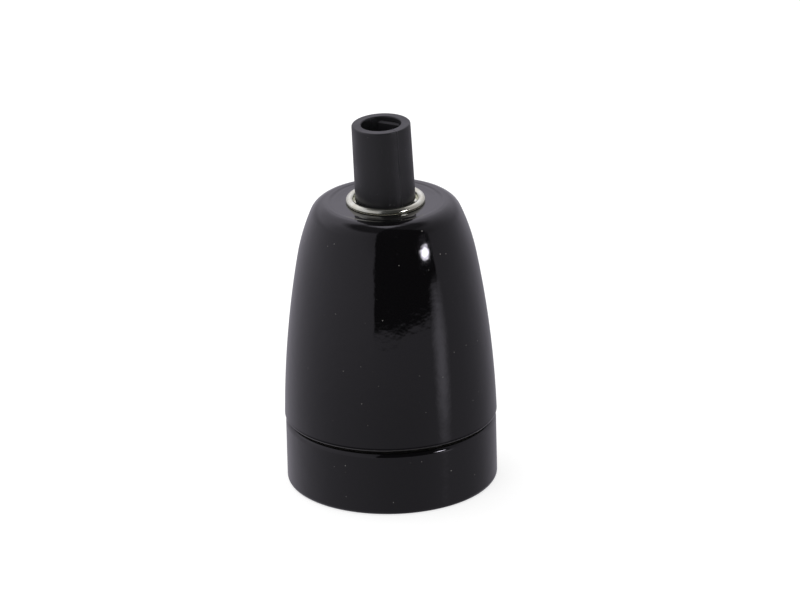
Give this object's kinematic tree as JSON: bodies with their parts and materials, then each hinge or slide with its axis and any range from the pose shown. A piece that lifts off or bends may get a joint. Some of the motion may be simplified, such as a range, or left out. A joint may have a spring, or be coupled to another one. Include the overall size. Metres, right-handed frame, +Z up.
{
  "type": "pendant lamp holder",
  "caption": "Glazed porcelain pendant lamp holder: domed cap and threaded skirt ring round an E27 screw shell, with a plastic cord grip in a steel bush on top.",
  "frame": {"origin": "centre of the mouth's rim, where the skirt ring stands", "axes": "+Z up along the holder's axis, from the mouth to the cord grip; the grip leans 1.9 degrees towards -X"},
  "size_m": [0.0474, 0.0474, 0.0844],
  "materials": {
    "black_glaze": "deep black gloss glaze over porcelain, with a few fine pits and specks",
    "white_porcelain": "unglazed dense white porcelain, satin",
    "nickel_steel": "nickel-plated steel, satin with a soft shine",
    "nickel_sheet": "nickel-plated brass sheet, bright, rolled",
    "brass": "turned and drawn brass, slightly dull",
    "zinc_steel": "zinc-plated steel, satin",
    "fibre": "red-brown vulcanised fibre, matt",
    "black_plastic": "black moulded polyamide, fine matt grain"
  },
  "bodies": {
    "cap": {"dome_cap": "black_glaze", "entry_bush": "nickel_steel", "entry_washer": "fibre", "lock_washer": "zinc_steel", "entry_nut": "zinc_steel"},
    "insert": {"insert_core": "white_porcelain", "screw_shell": "nickel_sheet", "shell_rivet_1": "brass", "shell_rivet_2": "brass", "contact_screw": "zinc_steel", "shell_screw": "zinc_steel", "live_terminal": "brass", "neutral_terminal": "brass"},
    "skirt": {"skirt_ring": "black_glaze"},
    "contact": {"centre_contact": "nickel_sheet"},
    "live_screw": {"live_wire_screw": "zinc_steel"},
    "neutral_screw": {"neutral_wire_screw": "zinc_steel"},
    "grip": {"grip_body": "black_plastic"},
    "clamp_screw": {"grip_screw": "black_plastic"},
    "tongue": {"clamp_tongue": "black_plastic"}
  },
  "joints": [
    {"name": "insert_drop", "type": "slide", "parent": "cap", "child": "insert", "axis": [0, 0, -1], "range_m": [0, 0.009]},
    {"name": "skirt_unscrew", "type": "hinge", "parent": "insert", "child": "skirt", "pos_m": [0, 0, 0], "axis": [0, 0, -1], "range_deg": [0, 810]},
    {"name": "contact_press", "type": "hinge", "parent": "insert", "child": "contact", "pos_m": [-0.0063, 0, 0.0264], "axis": [0, -1, 0], "range_deg": [0, 8], "stiffness_Nm_per_rad": 0.2},
    {"name": "live_wire_clamp", "type": "slide", "parent": "insert", "child": "live_screw", "axis": [1, 0, 0], "range_m": [0, 0.002]},
    {"name": "neutral_wire_clamp", "type": "slide", "parent": "insert", "child": "neutral_screw", "axis": [-1, 0, 0], "range_m": [0, 0.002]},
    {"name": "grip_unscrew", "type": "hinge", "parent": "cap", "child": "grip", "pos_m": [0, 0, 0.06605], "axis": [-0.0332, 0, 0.9995], "range_deg": [0, 360]},
    {"name": "clamp_screw_in", "type": "slide", "parent": "grip", "child": "clamp_screw", "axis": [-0.5207, -0.8536, -0.0173], "range_m": [0, 0.0015]},
    {"name": "tongue_swing", "type": "hinge", "parent": "grip", "child": "tongue", "pos_m": [0.002, 0.00337, 0.06762], "axis": [0.8531, -0.521, 0.0283], "range_deg": [0, 9.4]}
  ],
  "couplings": [
    {"joint": "skirt_unscrew", "follows": "insert_drop", "rad_per_m": 1570.8},
    {"joint": "tongue_swing", "follows": "clamp_screw_in", "rad_per_m": 108.2}
  ]
}
